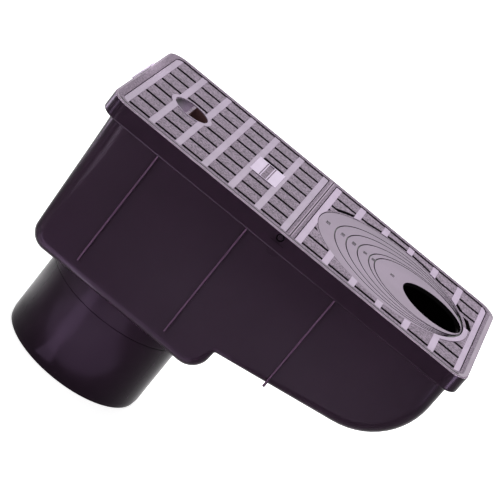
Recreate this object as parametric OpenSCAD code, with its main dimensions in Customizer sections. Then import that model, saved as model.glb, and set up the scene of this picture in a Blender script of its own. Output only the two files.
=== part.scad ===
// Rainwater gully with an odour trap, a leaf basket and a two-part slotted cover.
// Pieces are drawn from the cover: x runs from its left end, z goes down from its top.
// placed() then moves them so that the origin is the outlet's axis at its lower end.

/* [Cover] */
// Length of the cover
cover_l = 300; // [280:1:320]
// Width of the cover
cover_w = 168; // [160:1:176]
// Corner radius of the cover
cover_r = 14; // [10:1:18]
// Width of each grate bar
bar_w = 5.1; // [4:0.1:6]
// Distance from one grate bar to the next
bar_pitch = 22.45; // [22:0.05:22.6]
// Width of each slot
slot_w = 4.2; // [3.6:0.2:4.6]
// Distance from one slot to the next across the cover
slot_pitch = 21.6; // [21:0.1:22]

/* [Body] */
// Height from the outlet's end to the cover's top
total_h = 198; // [190:1:210]
// Distance from the cover's left end to the outlet's axis
outlet_x = 84.5; // [82:0.5:88]
// Outside diameter of the outlet
outlet_d = 110; // [108:1:112]
// Wall thickness of the moulding
wall = 3; // [2.4:0.2:3.4]
// Depth of the deep chamber's floor below the cover's top
floor_z = 123.5; // [120:0.5:126]
// Height of the collar around the cover
collar_h = 12.4; // [11:0.2:14]
// Slope of the drafted walls, in mm for each mm of depth
draft = 0.055; // [0.03:0.005:0.07]

/* [Ring plate] */
// Pipe sizes that the break-out rings fit
ring_pipes = [125, 110, 100, 90, 80, 75];
// Pipe size of the open hole
hole_pipe = 50; // [40:1:50]
// Free play around a pipe, on its diameter
pipe_play = 1.6; // [1:0.1:2]
// Place along the cover where the rings nearly touch
tangent_x = 283.5; // [282:0.5:284]
// Width of the break-out grooves
groove_w = 0.9; // [0.6:0.1:1]

/* [Trap] */
// Lean of the flap's seat past upright, in degrees
seat_lean = 12; // [8:1:15]
// Width of the flap
flap_w = 60; // [50:1:62]
// Length of the flap below its hinge
flap_l = 46; // [40:1:48]
// Diameter of the hinge pin
pin_d = 3; // [2.5:0.5:4]

/* [Hidden] */
$fn = 96;
eps = 0.01;
arc_steps = 8;

half_l = cover_l / 2;
half_w = cover_w / 2;

// Cover frame
flange_t = 1;
bevel = 0.6;
rim_w = 5.8;
end_rim_w = 6.6;
crossbar_w = 6.6;
window_r = 8.2;
frame_depth = 9.5;
skirt_gap = 3.2;
ledge_w = 2.6;
ledge_t = 2.2;
under_grow = 0.6;
lip_l = 57;
lip_out = 0.9;

// Grates
insert_gap = 0.45;
insert_top = 0.6;
insert_bottom = 4.2;
bar_up = 0.4;
bar_count = 7;
slot_rows = 7;
first_slot_y = -71.2;
under_rib_t = 2;
under_rib_h = 4.6;
left_bar_x = 6.7;
right_bar_x = 153.9;

// Finger pull of the inspection grate
pull_x = 42.9;
pull_r = 13.6;
pull_ring_r = 17;
pull_depth = 13;
pull_wall = 1.6;
pull_bar_w = 2.2;
pull_bar_x = -0.4;
pull_rim_r = 14.9;
pull_scoop_h = 7;
pull_scoop_r = 4;

// Bare plate of the inspection grate
plate_l = 22.4;
plate_w = 35;
plate_x = left_bar_x + 4.5 * bar_pitch + bar_w / 2;
plate_up = 0.2;
strip_w = 7.4;
ridge_w = 0.9;
ridge_gap = 4.1;
plate_slot_y = 21.6;
plate_slot_w = 5.8;

// Round opening of the downpipe grate and its plate
plate_gap = 0.5;
ring_plate_top = 1.1;
ring_plate_t = 3;
ring_r = [for (p = ring_pipes) (p + pipe_play) / 2];
ring_x = [for (k = [0:len(ring_pipes) - 1]) tangent_x - 0.12 * k - ring_r[k]];
hole_r = (hole_pipe + 0.6) / 2;
hole_x = tangent_x - 1.4 - hole_r;
disc_x = ring_x[0];
disc_r = ring_r[0] - plate_gap;
hug_in = ring_r[0] + 1.6;
hug_out = hug_in + slot_w;
groove_h = 0.9;
web_r = ring_r[0] + 3.9;
web_out = 1.2;
web_y0 = -47;
web_y1 = 11;

// Body
body_x0 = 6.6;
body_x1 = cover_l - 6;
body_half_w = half_w - 4.5;
body_r = 14;
deep_x1 = 160;
deep_r = 16;
side_r = 10;
slope = 0.157;
big_r = 51.5;
big_x = body_x1 - big_r - 0.5;
big_z = -35;
join_x = 120;
rib_t = 1.8;
rib_out = 2.6;
rib_pitch = 75.4;
rib_x = 49;
rib_low_z = -110;
rib_drop = 1.2;
outlet_r = outlet_d / 2;
outlet_wall = 3.4;
root_h = 17;
lock_x = 146;
lock_z = -4.2;
lock_plate = [11.3, 7.2];
lock_plate_z = -flange_t - 3.6;
lock_pin_r = 1.6;
lock_head_r = 1.8;
lock_recess_r = 2.8;

// Basket
basket_x0 = 19;
basket_x1 = 151;
basket_half_w = 65;
basket_r = 10;
basket_t = 2.2;
basket_floor_z = -110;
basket_top_z = -26;
basket_low_z = -93;
basket_slot_w = 3;

// Trap
floor_in_z = -(floor_z - wall);
trap_ring_t = 2.5;
trap_flange_r = 57;
trap_flange_t = 3;
trap_r = outlet_r - outlet_wall - 1;
trap_wall = 2;
shelf_z = floor_in_z - 9;
hinge_x = -6;
hinge_z = shelf_z - 6;
seat_out = 4;
sump_z = hinge_z - 45;
sump_fall = 6;
window_w = 48;
window_h = 34;
gasket_t = 1.5;
flap_t = 2;
seat_gap = 0.2;
knuckle_r = 3;
running = 0.05;

body_col = [0.15, 0.11, 0.14];
frame_col = [0.66, 0.62, 0.68];
grate_col = [0.58, 0.54, 0.59];
disc_col = [0.65, 0.60, 0.66];
rubber_col = [0.08, 0.08, 0.08];
basket_col = [0.25, 0.25, 0.27];

// ---- shared shapes ----

module placed() {
    translate([-outlet_x, 0, total_h]) children();
}

// Rectangle from x0 to x1, centred across, with round corners
module round_rect(x0, x1, half, r) {
    translate([x0 + r, -half]) square([x1 - x0 - 2 * r, 2 * half]);
    translate([x0, -half + r]) square([x1 - x0, 2 * half - 2 * r]);
    for (x = [x0 + r, x1 - r], y = [-half + r, half - r]) translate([x, y]) circle(r);
}

// The same, with large corners at one end only; end is -1 for the left, 1 for the right
module one_end_round(x0, x1, half, r, end) {
    mid = (x0 + x1) / 2;
    round_rect(x0, x1, half, r);
    if (end < 0) round_rect(mid, x1, half, 1);
    else round_rect(x0, mid, half, 1);
}

module slab(z0, z1) {
    translate([0, 0, z0]) linear_extrude(z1 - z0) children();
}

// Extrudes a side outline, drawn as (x, z), across the part
module across(half) {
    rotate([90, 0, 0]) linear_extrude(2 * half, center = true) children();
}

function arc(cx, cz, r, a0, a1, n = arc_steps) =
    [for (i = [0:n]) let (a = a0 + (a1 - a0) * i / n) [cx + r * cos(a), cz + r * sin(a)]];

// ---- body ----

wall_top = -collar_h + 1;

function side_w(z) = body_half_w + draft * (z + collar_h);

deep_outline = concat(
    [[deep_x1 + draft * (floor_z - collar_h), wall_top], [body_x0, wall_top]],
    arc(body_x0 + draft * (floor_z - collar_h - deep_r) + deep_r, -floor_z + deep_r, deep_r, 180, 270),
    arc(deep_x1 - deep_r, -floor_z + deep_r, deep_r, 270, 360));

slope_a = atan(slope);
slope_x = big_x + big_r * sin(slope_a);
slope_z = big_z - big_r * cos(slope_a);

shallow_outline = concat(
    [[join_x, wall_top], [join_x, slope_z - slope * (slope_x - join_x)]],
    arc(big_x, big_z, big_r, -90 + slope_a, 0, 2 * arc_steps),
    [[body_x1, wall_top]]);

// One chamber as a rounded, drafted solid; inset makes the space inside it
module chamber(outline, x0, x1, low_z, inset) {
    hull() {
        slab(wall_top - eps, wall_top) round_rect(x0 + inset, x1 - inset, body_half_w - inset, body_r - inset);
        for (a = [0:18:90])
            across(side_w(low_z + side_r) - inset - (side_r - inset) * (1 - sin(a)))
                offset(delta = -inset - (side_r - inset) * (1 - cos(a))) polygon(outline);
    }
}

module chambers(inset) {
    chamber(deep_outline, body_x0, deep_x1 + 5, -floor_z, inset);
    chamber(shallow_outline, join_x, body_x1, slope_z, inset);
}

// A thin rib down the long side, following its draft
module side_rib(x, low_z) {
    translate([x + rib_t / 2, 0, 0]) rotate([0, -90, 0]) linear_extrude(rib_t)
        polygon([[wall_top, side_w(wall_top) - 1.5], [wall_top, side_w(wall_top) + rib_out],
                 [low_z + 2, side_w(low_z) + rib_out], [low_z, side_w(low_z) + rib_out - 1],
                 [low_z, side_w(low_z) - 1.5]]);
}

module collar() {
    difference() {
        hull() {
            slab(-collar_h + 3, -flange_t) round_rect(0, cover_l, half_w, cover_r);
            slab(-collar_h, -collar_h + 1) round_rect(1.6, cover_l - 1.6, half_w - 0.8, cover_r);
        }
        slab(-frame_depth - 0.5, 0) round_rect(2.8, cover_l - 2.8, half_w - 2.8, cover_r - 2.8);
    }
}

module outlet_outside() {
    translate([outlet_x, 0, 0]) rotate_extrude()
        polygon([[0, -total_h], [outlet_r - 1.2, -total_h], [outlet_r, -total_h + 1.6],
                 [outlet_r, -floor_z - root_h - 0.6], [outlet_r + 0.6, -floor_z - root_h], [outlet_r + 0.6, -floor_z + 1],
                 [0, -floor_z + 1]]);
}

module body() {
    color(body_col) difference() {
        union() {
            chambers(0);
            collar();
            outlet_outside();
            for (s = [0, 1]) mirror([0, s, 0]) {
                side_rib(rib_x, rib_low_z);
                side_rib(rib_x + rib_pitch, rib_low_z);
                side_rib(rib_x + 2 * rib_pitch, slope_z - slope * (slope_x - rib_x - 2 * rib_pitch) - rib_drop);
                translate([lock_x + 1.5, -body_half_w - 1, -collar_h - 0.5]) rotate([-90, 0, 0]) intersection() {
                    cylinder(h = 3, r = 4.5);
                    translate([-5, -1, 0]) cube([10, 6, 3]);
                }
            }
        }
        chambers(wall);
        slab(wall_top - 1, -frame_depth) round_rect(body_x0 + wall, body_x1 - wall, body_half_w - wall, body_r - wall);
        translate([outlet_x, 0, -total_h - 1]) cylinder(h = total_h - floor_z + wall + 2, r = outlet_r - outlet_wall);
        for (s = [-1, 1]) {
            translate([lock_x, s * half_w, lock_plate_z]) cube([lock_plate[0], 1.2, lock_plate[1]], center = true);
            translate([lock_x, s * half_w, lock_z]) rotate([90, 0, 0])
                cylinder(h = 3.2, r = lock_recess_r, center = true);
            translate([lock_x, s * half_w, lock_z]) rotate([90, 0, 0])
                cylinder(h = 12, r = lock_pin_r + running, center = true);
        }
    }
}

// ---- cover frame ----

module window(side, grow = 0) {
    if (side < 0)
        one_end_round(end_rim_w - grow, half_l - crossbar_w / 2 + grow, half_w - rim_w + grow, window_r, -1);
    else
        one_end_round(half_l + crossbar_w / 2 - grow, cover_l - end_rim_w + grow, half_w - rim_w + grow, window_r, 1);
}

module cover_frame() {
    color(frame_col) difference() {
        union() {
            hull() {
                slab(-flange_t, -bevel) round_rect(0, cover_l, half_w, cover_r);
                slab(-bevel, 0) round_rect(bevel, cover_l - bevel, half_w - bevel, cover_r - bevel);
            }
            slab(-frame_depth, -flange_t + eps)
                round_rect(skirt_gap, cover_l - skirt_gap, half_w - skirt_gap, cover_r - skirt_gap);
            hull() {
                translate([-lip_out, -lip_l / 2, -flange_t]) cube([4, lip_l, 0.4]);
                translate([-lip_out + 0.4, -lip_l / 2 + 0.6, -0.4]) cube([3, lip_l - 1.2, 0.2]);
            }
        }
        slab(-insert_bottom, 1) window(-1);
        slab(-insert_bottom, 1) window(1);
        slab(-frame_depth - 1, 0) window(-1, -ledge_w);
        slab(-frame_depth - 1, 0) window(1, -ledge_w);
        slab(-frame_depth - 1, -insert_bottom - ledge_t) window(-1, under_grow);
        slab(-frame_depth - 1, -insert_bottom - ledge_t) window(1, under_grow);
        // hollow under the crossbar, and the fine line along its top
        translate([half_l - 1.6, -half_w + 12, -frame_depth - 1]) cube([3.2, cover_w - 24, frame_depth - 1.2]);
        translate([half_l - 0.3, -half_w + bevel, -0.4]) cube([0.6, cover_w - 2 * bevel, 1]);
        for (s = [-1, 1])
            translate([lock_x, s * half_w, lock_z]) rotate([90, 0, 0])
                cylinder(h = 14, r = lock_pin_r + running, center = true);
    }
}

// ---- grates ----

function bay_x(first, k) = first + k * bar_pitch + bar_w;
bay_l = bar_pitch - bar_w;
function row_y(j) = first_slot_y + j * slot_pitch;

module insert_outline(side) {
    window(side, -insert_gap);
}

// Slots of one insert as a flat shape; each bay lists the rows that it has
module straight_slots(first, rows) {
    for (k = [0:bar_count - 2], j = rows[k])
        translate([bay_x(first, k), row_y(j) - slot_w / 2]) square([bay_l, slot_w]);
}

module bars(first) {
    for (k = [0:bar_count - 1])
        translate([first + k * bar_pitch, -half_w]) square([bar_w, cover_w]);
}

module under_ribs(first, from_k, to_k, half) {
    for (k = [from_k:to_k])
        translate([first + k * bar_pitch + (bar_w - under_rib_t) / 2, -half, -insert_bottom - under_rib_h])
            cube([under_rib_t, 2 * half, under_rib_h + 1]);
}

module finger_pull_solid() {
    translate([pull_x, 0, 0]) {
        slab(-insert_bottom, -insert_top) difference() {
            circle(pull_ring_r);
            square([bay_l, 3 * pull_ring_r], center = true);
        }
        slab(-insert_bottom, -insert_top) circle(pull_rim_r);
        slab(-pull_depth - pull_wall, -insert_bottom) circle(pull_r + pull_wall);
    }
}

// Scoop on the left of the crossbar, a deeper pocket on its right
module finger_pull_space() {
    translate([pull_x, 0, 0]) {
        intersection() {
            rotate_extrude() polygon([[0, 1], [pull_r + 1, 1], [pull_r, -insert_top], [pull_r - 1.5, -2.5],
                                      [pull_scoop_r, -pull_scoop_h], [0, -pull_scoop_h]]);
            translate([pull_bar_x - pull_bar_w / 2 - 2 * pull_r, -pull_r - 2, -pull_depth])
                cube([2 * pull_r, 2 * pull_r + 4, 20]);
        }
        intersection() {
            translate([0, 0, -pull_depth]) cylinder(h = 20, r = pull_r);
            translate([pull_bar_x + pull_bar_w / 2, -pull_r - 2, -pull_depth - 1])
                cube([2 * pull_r, 2 * pull_r + 4, 30]);
        }
        translate([0, 0, -insert_top - 0.4]) cylinder(h = 2, r = pull_r - eps);
    }
}

// Slot that bends round the finger pull
module pull_slot() {
    intersection() {
        translate([pull_x, -22]) difference() {
            circle(43.6);
            circle(43.6 - slot_w + 0.2);
        }
        translate([bay_x(left_bar_x, 1), 0]) square([bay_l, 40]);
    }
}

pull_bay = 1;
plate_bay = 4;
all_rows = [0:slot_rows - 1];
left_rows = [for (k = [0:bar_count - 2])
    k == pull_bay || k == plate_bay ? [0, 1, 2, 5, 6] : [for (j = all_rows) j]];

module plate_top() {
    translate([plate_x - plate_l / 2, -plate_w / 2]) square([plate_l, plate_w]);
}

module inspection_grate() {
    color(grate_col) difference() {
        union() {
            slab(-insert_bottom, -insert_top - bar_up) insert_outline(-1);
            intersection() {
                slab(-insert_bottom, -insert_top) bars(left_bar_x);
                slab(-insert_bottom, 0) insert_outline(-1);
            }
            slab(-insert_bottom, -insert_top + plate_up) plate_top();
            under_ribs(left_bar_x, 1, bar_count - 2, half_w - rim_w - ledge_w - 2);
            finger_pull_solid();
        }
        slab(-insert_bottom - 1, 1) difference() {
            straight_slots(left_bar_x, left_rows);
            translate([pull_x, 0]) circle(pull_ring_r);
        }
        slab(-insert_bottom - 1, 1) pull_slot();
        slab(-insert_bottom - 1, 1)
            translate([bay_x(left_bar_x, plate_bay), plate_slot_y - plate_slot_w / 2]) square([bay_l, plate_slot_w]);
        // textured strip between two thin ridges in the bare plate
        slab(-insert_top - bar_up, 1) difference() {
            translate([plate_x - strip_w / 2, -plate_w / 2 + 1]) square([strip_w, plate_w - 2]);
            for (s = [-1, 1])
                translate([plate_x + s * (ridge_gap + ridge_w) / 2 - ridge_w / 2, -plate_w / 2]) square([ridge_w, plate_w]);
        }
        finger_pull_space();
    }
}

// Band round the opening, r0 to r1, inside one bay and between two heights across the cover
module hug(bay, y0, y1, out = 0) {
    intersection() {
        translate([disc_x, 0]) difference() {
            circle(hug_out + out);
            circle(hug_in + out);
        }
        translate([bay_x(right_bar_x, bay), y0]) square([bay_l, y1 - y0]);
    }
}

right_rows = [[0, 1, 2, 5, 6], [0, 6], [0], [0], [0, 6], [0, 1, 2, 5, 6]];

// Where a straight slot would run into the opening, it bends and follows it
module right_slots() {
    row6 = row_y(6) - slot_w / 2;
    row5 = row_y(5) - slot_w / 2;
    difference() {
        straight_slots(right_bar_x, right_rows);
        translate([disc_x, 0]) circle(hug_in);
        web();
    }
    for (bay = [1:4]) hug(bay, row6, half_w);
    hug(0, row5, row_y(6) - 5);
    hug(bar_count - 2, row5, row_y(6) - 5);
    hug(0, row_y(4) + 6, row_y(4) + 12);
    hug(bar_count - 2, row_y(4) - 3, row_y(4) + 15, web_out);
}

// Smooth web round the side of the opening where the rings nearly touch
module web() {
    intersection() {
        translate([disc_x, 0]) circle(web_r);
        translate([bay_x(right_bar_x, bar_count - 2) - 1, web_y0]) square([bay_l, web_y1 - web_y0]);
    }
}

module downpipe_grate() {
    color(grate_col) difference() {
        union() {
            slab(-insert_bottom, -insert_top - bar_up) insert_outline(1);
            intersection() {
                slab(-insert_bottom, -insert_top) union() {
                    bars(right_bar_x);
                    web();
                }
                slab(-insert_bottom, 0) insert_outline(1);
            }
            slab(-insert_bottom - ledge_t, -insert_bottom + 1) translate([disc_x, 0]) circle(ring_r[0] + 0.8);
        }
        slab(-insert_bottom - 4, 1) right_slots();
        slab(-ring_plate_top - ring_plate_t, 1) translate([disc_x, 0]) circle(ring_r[0]);
        slab(-insert_bottom - 4, 1) translate([disc_x, 0]) circle(ring_r[0] - ledge_w);
    }
}

// ---- ring plate ----

module groove(x, r) {
    translate([x, 0]) difference() {
        circle(r + groove_w / 2);
        circle(r - groove_w / 2);
    }
}

module ring_plate() {
    color(disc_col) difference() {
        slab(-ring_plate_top - ring_plate_t, -ring_plate_top) translate([disc_x, 0]) circle(disc_r);
        for (k = [1:len(ring_pipes) - 1])
            slab(-ring_plate_top - groove_h, 1) groove(ring_x[k], ring_r[k]);
        slab(-ring_plate_top - ring_plate_t - 1, 1) translate([hole_x, 0]) circle(hole_r);
    }
}

// ---- frame pins ----

module frame_pin(side) {
    color(body_col) translate([lock_x, side * half_w, lock_z]) rotate([side * 90, 0, 0]) {
        translate([0, 0, 0.8]) cylinder(h = 0.8, r = lock_head_r);
        translate([0, 0, 1.5]) cylinder(h = 4.6, r = lock_pin_r);
    }
}

// ---- leaf basket ----

module basket_shell() {
    difference() {
        slab(basket_floor_z, basket_top_z) round_rect(basket_x0, basket_x1, basket_half_w, basket_r);
        slab(basket_floor_z + basket_t, basket_top_z + 1)
            round_rect(basket_x0 + basket_t, basket_x1 - basket_t, basket_half_w - basket_t, basket_r - basket_t);
    }
}

module leaf_basket() {
    floor_slots = 8;
    wall_slots = 9;
    floor_l = basket_x1 - basket_x0 - 2 * basket_r;
    color(basket_col) {
        difference() {
            union() {
                basket_shell();
                slab(basket_top_z - 2, basket_top_z) difference() {
                    round_rect(basket_x0 - 2.5, basket_x1, basket_half_w + 2.5, basket_r + 2.5);
                    round_rect(basket_x0 + basket_t, basket_x1 - basket_t, basket_half_w - basket_t,
                               basket_r - basket_t);
                }
            }
            // the wall below the sloped chamber is low, so that its water runs in
            translate([basket_x1 - 14, -basket_half_w - 5, basket_low_z]) cube([20, 2 * basket_half_w + 10, 100]);
            for (i = [0:floor_slots - 1], s = [-1, 0, 1])
                translate([basket_x0 + basket_r + (i + 0.5) * floor_l / floor_slots - basket_slot_w / 2,
                           s * 37 - 15, basket_floor_z - 1])
                    cube([basket_slot_w, 30, basket_t + 2]);
            for (i = [0:wall_slots - 1])
                translate([basket_x0 + basket_r + (i + 0.5) * (floor_l - 8) / wall_slots - basket_slot_w / 2,
                           -basket_half_w - 1, -100])
                    cube([basket_slot_w, 2 * basket_half_w + 2, 58]);
            for (i = [0:wall_slots - 1])
                translate([basket_x0 - 1, (i - (wall_slots - 1) / 2) * 12 - basket_slot_w / 2, -100])
                    cube([basket_t + 2, basket_slot_w, 58]);
        }
        // lifting bar and feet
        translate([80, -basket_half_w + 1, basket_top_z - 6]) cube([9, 2 * basket_half_w - 2, 3]);
        translate([83.5, -basket_half_w + 1, basket_top_z - 13]) cube([2, 2 * basket_half_w - 2, 8]);
        for (x = [32, 137], y = [-50, 50])
            translate([x, y, floor_in_z]) cylinder(h = basket_floor_z - floor_in_z + 1, r = 4);
    }
}

// ---- trap ----

module at_outlet() {
    translate([outlet_x, 0, 0]) children();
}

// Frame of the seat: x points out of the window, z runs up along it, the hinge pin is the origin
module at_seat() {
    at_outlet() translate([hinge_x, 0, hinge_z]) rotate([0, -seat_lean, 0]) children();
}

module behind_seat(back) {
    at_seat() translate([-150 - back, -100, -100]) cube([150 - seat_out, 200, 200]);
}

// Space behind the seat and above the sump, whose floor runs down to the window
module trap_duct(r, back) {
    intersection() {
        at_outlet() slab(-total_h, shelf_z + eps) circle(r);
        behind_seat(back);
        at_outlet() translate([0, 0, sump_z + back]) rotate([0, sump_fall, 0])
            translate([-100, -100, 0]) cube([200, 200, 100]);
    }
}

module trap_insert() {
    color(frame_col) {
        difference() {
            union() {
                at_outlet() slab(floor_in_z + trap_ring_t, floor_in_z + trap_ring_t + trap_flange_t)
                    circle(trap_flange_r);
                at_outlet() slab(shelf_z - 2.4, floor_in_z + trap_ring_t + 1) circle(trap_r);
                trap_duct(trap_r, 0);
                at_seat() for (s = [-1, 1])
                    translate([-seat_out - 1, s * (flap_w / 2 + 2.6) - 1.6, -4.5]) cube([seat_out + 5, 3.2, 9]);
            }
            at_outlet() slab(shelf_z, floor_in_z + 30) circle(trap_r - trap_wall);
            trap_duct(trap_r - trap_wall, trap_wall);
            intersection() {
                at_outlet() slab(shelf_z - 3, shelf_z + 1) circle(trap_r - trap_wall);
                behind_seat(trap_wall);
            }
            at_seat() translate([-seat_out - 5, -window_w / 2, -window_h - 8]) cube([8, window_w, window_h]);
            at_seat() rotate([90, 0, 0]) cylinder(h = 100, r = pin_d / 2 + running, center = true);
        }
    }
}

module trap_ring() {
    color(rubber_col) at_outlet() slab(floor_in_z, floor_in_z + trap_ring_t) difference() {
        circle(trap_flange_r - 0.5);
        circle(trap_flange_r - 4.5);
    }
}

flap_x = -seat_out + seat_gap + gasket_t;

module odour_flap() {
    color(frame_col) at_seat() difference() {
        union() {
            translate([flap_x, -flap_w / 2, -flap_l]) cube([flap_t, flap_w, flap_l]);
            for (y = [-20, 0, 20]) translate([0, y, 0]) rotate([90, 0, 0]) cylinder(h = 11, r = knuckle_r, center = true);
            for (y = [-20, 20]) translate([flap_x + 1, y - 1, -flap_l + 5]) cube([3, 2, flap_l - 7]);
        }
        rotate([90, 0, 0]) cylinder(h = 100, r = pin_d / 2 + running, center = true);
        for (y = [-10, 10]) translate([-6, y - 4.2, -4.5]) cube([12, 8.4, 10]);
        for (s = [-1, 1]) translate([-6, s * (flap_w / 2 + 10) - 14, -4.5]) cube([12, 28, 10]);
    }
}

module flap_pin() {
    color([0.6, 0.6, 0.62]) at_seat() rotate([90, 0, 0])
        cylinder(h = flap_w + 9, r = pin_d / 2, center = true);
}

module flap_gasket() {
    color(rubber_col) at_seat() difference() {
        translate([-seat_out + seat_gap, -window_w / 2 - 4, -window_h - 11]) cube([gasket_t, window_w + 8, window_h + 6]);
        translate([-seat_out, -window_w / 2, -window_h - 8]) cube([gasket_t + 2, window_w, window_h]);
    }
}

placed() body();
placed() cover_frame();
placed() inspection_grate();
placed() downpipe_grate();
placed() ring_plate();
placed() frame_pin(-1);  // near_frame_pin
placed() frame_pin(1);  // far_frame_pin
placed() leaf_basket();
placed() trap_insert();
placed() trap_ring();
placed() odour_flap();
placed() flap_pin();
placed() flap_gasket();
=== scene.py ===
"""Rainwater gully with a two-part slotted cover, a leaf basket and an odour flap."""

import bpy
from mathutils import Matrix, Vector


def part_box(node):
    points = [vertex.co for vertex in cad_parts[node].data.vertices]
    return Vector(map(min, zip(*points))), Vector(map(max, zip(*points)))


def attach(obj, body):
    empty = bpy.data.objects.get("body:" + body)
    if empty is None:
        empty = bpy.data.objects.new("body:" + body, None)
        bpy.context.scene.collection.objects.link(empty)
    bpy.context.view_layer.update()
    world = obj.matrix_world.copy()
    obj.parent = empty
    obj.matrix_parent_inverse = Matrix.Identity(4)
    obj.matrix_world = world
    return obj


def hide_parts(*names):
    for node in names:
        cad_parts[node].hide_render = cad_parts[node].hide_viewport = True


bl_info = {
    "name": "Rainwater gully",
    "version": (1, 0, 0),
    "blender": (4, 5, 0),
    "location": "View3D > Sidebar > Gully",
    "description": "Builds the moulded body of a rainwater gully, dresses its cover and sets the studio",
    "category": "Object",
}

import math

import bmesh
import bpy
from bpy.props import FloatProperty, FloatVectorProperty, PointerProperty
from mathutils import Matrix, Vector

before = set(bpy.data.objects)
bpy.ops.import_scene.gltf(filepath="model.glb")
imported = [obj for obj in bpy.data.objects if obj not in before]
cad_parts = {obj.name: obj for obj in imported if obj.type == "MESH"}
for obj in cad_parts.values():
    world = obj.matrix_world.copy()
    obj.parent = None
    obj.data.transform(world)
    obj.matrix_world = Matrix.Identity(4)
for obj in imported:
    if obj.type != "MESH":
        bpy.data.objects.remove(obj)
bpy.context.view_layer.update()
MM = 0.001
COVER_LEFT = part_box("body")[0].x
COVER_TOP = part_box("cover_frame")[1].z
RINGS_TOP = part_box("ring_plate")[1].z

# in millimetres, from the frame: the cover's outline, the outlet's axis and the whole height
COVER_LENGTH = round((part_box("body")[1].x - COVER_LEFT) / MM, 3)
COVER_HALF = round(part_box("body")[1].y / MM, 3)
OUTLET_X = -COVER_LEFT / MM
TOTAL_HEIGHT = COVER_TOP / MM
# corner radius of the cover's outline, in millimetres
COVER_ROUND = 14


# ---- sizes and colours that a user may change ----

def length(name, text, mm, low=0.1, high=400):
    return FloatProperty(name=name, description=text, default=mm * MM, min=low * MM, max=high * MM,
                         unit="LENGTH", precision=4)


def colour(name, text, value):
    return FloatVectorProperty(name=name, description=text, default=value, min=0, max=1, size=3,
                               subtype="COLOR")


class BodySizes(bpy.types.PropertyGroup):
    wall: length("Wall", "Wall thickness of the moulding", 3, 2, 4)
    upper_round: length("Upper corner radius", "Radius of the upright corners under the collar", 14, 8, 15)
    lower_round: length("Lower edge radius", "Radius of the long edges of the deep chamber", 8.5, 6, 12)
    slope_round: length("Slope edge radius", "Radius of the long edges along the sloped floor", 4.5, 3.5, 8)
    notch_round: length("Notch radius", "Radius where the sloped floor meets the deep chamber", 1.8, 1, 6)
    collar_round: length("Collar edge radius", "Radius along the collar's lower edge", 1.8, 0.5, 3)
    rib_width: length("Rib width", "Thickness of the ribs on the long sides", 1.8, 1, 3)
    rib_height: length("Rib height", "How far the ribs stand out", 2.6, 1, 4)


class CoverSizes(bpy.types.PropertyGroup):
    edge: length("Edge rounding", "Rounding of the cover's moulded edges", 0.22, 0.05, 0.4)
    grain: length("Grain", "Size of the rough grain on the slats and the frame", 1.5, 0.2, 3)
    smooth_rim: length("Smooth rim", "Width of the smooth band along the cover's outer edge", 1.6, 1, 5)
    end_rim: length("Smooth end", "Width of the smooth band at the cover's downpipe end", 3.8, 1, 6)
    tab_length: length("Tab length", "Length of the tab at the cover's other end", 26, 10, 60)
    mark_size: length("Mark height", "Height of the pipe sizes on the ring plate", 4.4, 2, 6)
    mark_relief: length("Mark relief", "How far the pipe sizes stand up", 0.12, 0.05, 0.4)
    mark_weight: length("Mark weight", "How much the pipe sizes' strokes are thickened", 0.14, 0.01, 0.3)


class Colours(bpy.types.PropertyGroup):
    body: colour("Body", "Dark plastic of the body", (0.0112, 0.0055, 0.0108))
    slats: colour("Slats", "Rough grained plastic of the slats", (0.290, 0.222, 0.299))
    # the bars are the slats' plastic; part of their lighter colour is painted sheen of their smooth faces
    bars: colour("Bars", "Smooth plastic of the bars", (0.418, 0.308, 0.455))
    plate: colour("Plate", "Bright smooth plastic of the bare plate", (0.770, 0.620, 0.850))
    rim: colour("Rim", "Smooth plastic of the cover's outer rim", (0.420, 0.330, 0.430))
    disc: colour("Ring plate", "Smooth plastic of the ring plate", (0.300, 0.208, 0.320))
    # shade and pocket are painted shade: colours for walls, grooves and a pocket that lie in shade, not the
    # plastic's own colour
    shade: colour("Shade", "Plastic of the walls inside slots and grooves", (0.012, 0.007, 0.011))
    pocket: colour("Pocket", "Shaded pocket of the finger pull", (0.190, 0.092, 0.098))
    inside: colour("Inside", "Dark plastic of the basket and the trap", (0.030, 0.024, 0.028))
    rubber: colour("Rubber", "Rubber of the seals", (0.012, 0.012, 0.012))
    floor: colour("Floor", "Studio floor", (0.900, 0.900, 0.900))


class Studio(bpy.types.PropertyGroup):
    azimuth: FloatProperty(name="Azimuth", description="Where the camera stands round the gully",
                           default=math.radians(0.648), subtype="ANGLE")
    elevation: FloatProperty(name="Elevation", description="How far the camera looks down",
                             default=math.radians(18.929), subtype="ANGLE")
    roll: FloatProperty(name="Roll", description="How far the camera is turned about its own axis",
                        default=math.radians(39.155), subtype="ANGLE")
    distance: length("Distance", "From the camera to the point that it looks at", 1669.2, 500, 5000)
    aim_x: length("Aim along", "Point that the camera looks at, along the cover", 50.2, -400, 400)
    aim_z: length("Aim height", "Point that the camera looks at, above the floor", 145.5, -400, 400)
    lens: FloatProperty(name="Lens", description="Focal length on a 36 mm sensor", default=172.95,
                        min=20, max=400)
    ambient: FloatProperty(name="Ambient", description="Strength of the even light from all sides",
                           default=0.33, min=0, max=5)
    glow: FloatProperty(name="Floor glow", description="How strongly the backlit floor shines",
                        default=0.85, min=0, max=5)


# ---- places and meshes ----

def at(x, y, z):
    """A point in metres from millimetres: x from the cover's left end, z up from the cover's top."""
    return Vector((COVER_LEFT + x * MM, y * MM, COVER_TOP + z * MM))


def link(obj):
    bpy.context.scene.collection.objects.link(obj)
    return obj


def solid(name, points, faces):
    """A closed mesh with its faces turned outwards and doubled points merged."""
    mesh = bpy.data.meshes.new(name)
    mesh.from_pydata([tuple(p) for p in points], [], faces)
    work = bmesh.new()
    work.from_mesh(mesh)
    bmesh.ops.remove_doubles(work, verts=work.verts, dist=1e-7)
    bmesh.ops.recalc_face_normals(work, faces=work.faces)
    work.to_mesh(mesh)
    work.free()
    return link(bpy.data.objects.new(name, mesh))


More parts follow.
